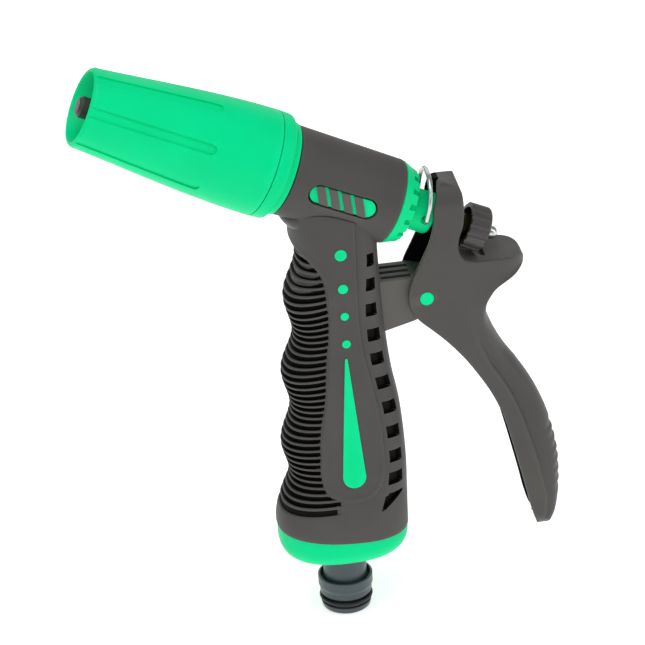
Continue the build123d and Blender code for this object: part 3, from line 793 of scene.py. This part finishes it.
# ---- trigger ------------------------------------------------------------------------------------------
# front edge and rear edge of the side view, from the top of the cheeks down to the foot
TRIGGER_STATIONS = [
    (34.2, 144.3, 39.4, 143.3), (33.4, 143.5, 39.9, 142.4), (32.4, 141.4, 40.3, 140.4),
    (31.4, 138.5, 40.5, 138.0), (30.9, 133.0, 40.2, 131.5), (29.6, 127.0, 38.6, 126.0),
    (27.6, 122.5, 38.6, 122.2), (25.6, 118.4, 40.4, 119.6), (24.2, 115.6, 43.6, 118.7),
    (23.4, 113.4, 49.0, 118.6), (22.8, 111.4, 54.6, 118.5), (22.4, 109.0, 58.2, 117.6),
    (22.6, 106.6, 59.2, 115.4), (23.4, 104.2, 56.6, 113.2), (24.4, 102.2, 53.4, 111.2),
    (26.2, 100.0, 49.6, 108.4), (29.4, 96.9, 47.3, 104.8), (33.4, 92.8, 46.8, 100.6),
    (38.6, 86.4, 48.4, 94.6), (43.2, 79.4, 52.2, 86.4), (46.8, 73.0, 56.6, 79.6),
    (50.4, 64.4, 61.4, 71.0), (53.2, 54.0, 65.6, 60.0), (55.4, 44.4, 68.1, 49.0),
    (57.2, 36.2, 68.6, 39.0), (58.6, 29.6, 67.9, 31.0), (60.0, 25.2, 66.6, 25.6), (61.6, 22.8, 64.8, 22.6),
]
TRIGGER_HALF, TRIGGER_WALL = 8.4, 1.3
# by the height of the front edge: half width, crease from the front, its depth, web, rear rounding
TRIGGER_TABLE = [
    (23, 6.9, 2.6, 0.5, 2.2, 2.5), (30, 7.0, 5.2, 0.9, 2.2, 3.2), (44, 7.1, 6.1, 1.4, 2.2, 3.8),
    (64, 7.6, 5.4, 1.6, 2.2, 4.0), (79, 8.0, 5.0, 1.5, 2.2, 4.0), (86, 8.2, 6.5, 1.0, 2.4, 3.6),
    (93, 8.4, 9.0, 0.4, 3.0, 2.6), (97, 8.4, 10.0, 0, 4.5, 1.6), (102, 8.4, 10.0, 0, 8.0, 1.1),
    (114, 8.4, 10.0, 0, 8.0, 1.1), (118, 8.4, 8.0, 0, 3.5, 1.1), (124, 8.4, 5.0, 0, 2.2, 1.1),
    (144, 8.4, 4.0, 0, 2.2, 1.1), (148, 8.4, 2.0, 0, 1.4, 0.8),
]
SCALLOP_LOW, SCALLOP_PITCH, SCALLOP_DEPTH, SCALLOPS = 34.0, 3.6, 0.7, 7
CHANNEL_LOW, CHANNEL_HIGH = 25.0, 144.2
REST_ROUND, REST_START, REST_BOTTOM = 7.4, 52.0, 111.4
TOE_R, TOE_CENTRE = 7.2, 28.8
HEAD_START, HEAD_RISE = 138.0, 7.0
PIN_X, PIN_Z, PIN_HOLE_R = 28.0, 108.2, 2.25
# along the barrel's axis: room for the knob's bush, and the slot that the stem passes through
BUSH_ROOM, BUSH_ROOM_R = (-54.8, -45.4), 7.5
STEM_SLOT = (-48.0, -36.0)
STEM_SLOT_CORNERS = [(-3.9, -2.5), (3.5, -2.5), (3.5, 2.5), (-3.9, 2.5)]     # up and across


def outer_line(half, crease, depth, round_in, round_side, length, length_here):
    """Outside of one cheek, from the front edge over the crease and round to the middle of the back."""
    none = 0 * half
    outer = [(none, half - TRIGGER_WALL + 0.3), (none, half - 0.55), (none + 0.15, half - 0.18),
             (none + 0.55, half)]
    crease = np.minimum(crease, length - round_in - 1.8)
    for share in (0.35, 0.7):
        outer.append((0.55 + (crease - 0.75) * share, half))
    for past, drop in ((-0.2, 0), (0.15, 0.3), (0.6, 0.85), (1.2, 1.0)):
        outer.append((crease + past, half - depth * drop))
    start = length - round_in
    for share in (0.25, 0.5, 0.7, 0.85, 1.0):
        outer.append((crease + 1.2 + (start - crease - 1.2) * share, half - depth))
    for step in range(1, 9):
        angle = math.radians(90) * step / 8
        outer.append((start + (length_here - start) * math.sin(angle),
                      half - depth - round_side * (1 - math.cos(angle))))
    for share in (0.66, 0.33, 0):
        outer.append((length_here, (half - depth - round_side) * share))
    return outer


def inner_line(half, depth, channel):
    """Inside of one cheek, from the front edge to the middle of the channel's floor."""
    inside = half - TRIGGER_WALL
    inner = [(0 * half, inside)]
    for share in (0.2, 0.5, 0.8):
        inner.append((channel * share, inside - 0.7 * depth * share))
    back = inside - 0.7 * depth
    inner += [(channel * 0.9, back - 0.3), (channel * 0.97, back - 0.9), (channel, back - 2.0),
              (channel, back * 0.35), (channel, 0 * back)]
    return inner


def trigger_loops():
    """Places of the closed U-shaped section of every row, and which of its columns are inside."""
    rows = curve_through(TRIGGER_STATIONS, 190)
    front, rear = rows[:, :2], rows[:, 2:]
    height = front[:, 1]
    length = np.linalg.norm(rear - front, axis=1)
    heights, *columns = zip(*TRIGGER_TABLE)
    half, crease, depth, web, round_in = (np.interp(height, heights, column) for column in columns)
    full = np.interp(height, [88, 98], [1, 0])
    round_side = full * (half - depth) + (1 - full) * 1.1
    scallop = (rear[:, 1] - SCALLOP_LOW) / SCALLOP_PITCH
    ribbed = (scallop > 0) & (scallop < SCALLOPS)
    length_here = length - np.where(ribbed, SCALLOP_DEPTH / 2 * (1 - np.cos(2 * math.pi * scallop)), 0)
    closing = smoothstep((height - CHANNEL_LOW) / 3.0) * smoothstep((CHANNEL_HIGH - height) / 1.6)
    channel = np.maximum(length - web, 0.6) * closing + 0.05
    outer = outer_line(half, crease, depth, round_in, round_side, length, length_here)
    inner = inner_line(half, depth, channel)
    left_out = [(away, -side) for away, side in outer[-2::-1]]
    left_in = [(away, -side) for away, side in inner]
    loop = outer + left_out + left_in + inner[-2::-1]
    away = np.stack([away for away, _ in loop], axis=1)
    side = np.stack([np.broadcast_to(side, length.shape) for _, side in loop], axis=1)
    step = (rear - front) / length[:, None]
    x = front[:, :1] + step[:, :1] * away
    z = front[:, 1:] + step[:, 1:] * away
    is_inner = np.arange(len(loop)) >= len(outer) + len(left_out)
    return x, side, z, is_inner


def add_trigger():
    """Hollow lever with a rounded thumb rest, head and toe, cut out for the pin, bush and stem."""
    x, side, z, is_inner = trigger_loops()
    past = np.clip((x - REST_START) / REST_ROUND, 0, 0.995)
    limit = np.where(z > REST_BOTTOM, TRIGGER_HALF * np.sqrt(1 - past**2), 99)
    rise = HEAD_RISE - 1.5 * is_inner
    head = np.sqrt(1 - np.clip((z - HEAD_START) / rise, 0, 0.995) ** 2)
    limit = np.minimum(limit, (TRIGGER_HALF - TRIGGER_WALL * is_inner) * head)
    toe = np.sqrt(np.maximum(TOE_R**2 - np.minimum(z - TOE_CENTRE, 0) ** 2, 0.6))
    wall = np.where(is_inner, TRIGGER_WALL, 0)
    limit = np.minimum(limit, np.where(z < TOE_CENTRE, np.maximum(toe - wall, 0.3), 99))
    side = np.sign(side) * np.minimum(np.abs(side), limit)
    lever = Builder()
    # the inside faces of the hollow lever get the near-black painted shade
    lever.tube(np.stack([x, side, z], axis=-1), np.broadcast_to(is_inner, x.shape))
    made = lever.make("trigger_skin", "trigger", ["trigger_plastic", "painted_groove_shade"], "trigger_lever", 35)
    ring = np.linspace(0, 2 * math.pi, 48, endpoint=False)
    pin = [(PIN_X + PIN_HOLE_R * math.cos(a), PIN_Z + PIN_HOLE_R * math.sin(a)) for a in ring]
    cut(made, prism([[(px, y, pz) for px, pz in pin] for y in (-20, 20)]))
    cut(made, prism([barrel_ring(ring, along, BUSH_ROOM_R) for along in BUSH_ROOM]))
    cut(made, prism([
        [from_barrel(along, up, across).tolist() for up, across in STEM_SLOT_CORNERS] for along in STEM_SLOT
    ]))
    tidy_mesh(made.data, 35)


def prism(rings):
    """Closed solid between rings of points, used as a cutter."""
    cutter = Builder()
    cutter.tube(np.array(rings, float))
    mesh = bpy.data.meshes.new("cutter")
    mesh.from_pydata([tuple(c * MM for c in place) for place in cutter.places], [], cutter.faces)
    work = bmesh.new()
    work.from_mesh(mesh)
    bmesh.ops.recalc_face_normals(work, faces=work.faces)
    work.to_mesh(mesh)
    work.free()
    made = bpy.data.objects.new("cutter", mesh)
    bpy.context.scene.collection.objects.link(made)
    return made


# ---- valve stem ------------------------------------------------------------------------------------------
# position along the barrel and radius, from the domed rear end to the valve tip's socket
STEM_PROFILE = [
    (-56.9, 0.3), (-56.8, 0.9), (-56.4, 1.45), (-55.9, 1.8), (-55.3, 2.0), (-54.0, 2.0), (14.0, 2.0),
    (14.0, 1.6), (14.8, 1.6), (14.8, 2.0), (40.0, 2.0), (40.0, 4.9), (40.3, 5.2), (41.7, 5.2),
    (42.0, 4.9), (42.0, 2.0), (61.7, 2.0), (62.0, 1.8),
]


def add_stem():
    """Polished rod from the domed end behind the knob to the tip in the nozzle's mouth."""
    turns = np.linspace(0, 2 * math.pi, 48, endpoint=False)
    rings = [barrel_ring(turns, along, radius) for along, radius in STEM_PROFILE]
    stem = Builder()
    stem.tube(np.array(rings))
    stem.make("stem_skin", "stem", ["bright_steel"], "valve_stem")


add_camera()
add_light()
add_floor()
paint_cad_nodes()
add_grip_cover()
add_base_ring()
add_trigger()
add_stem()
add_spring()
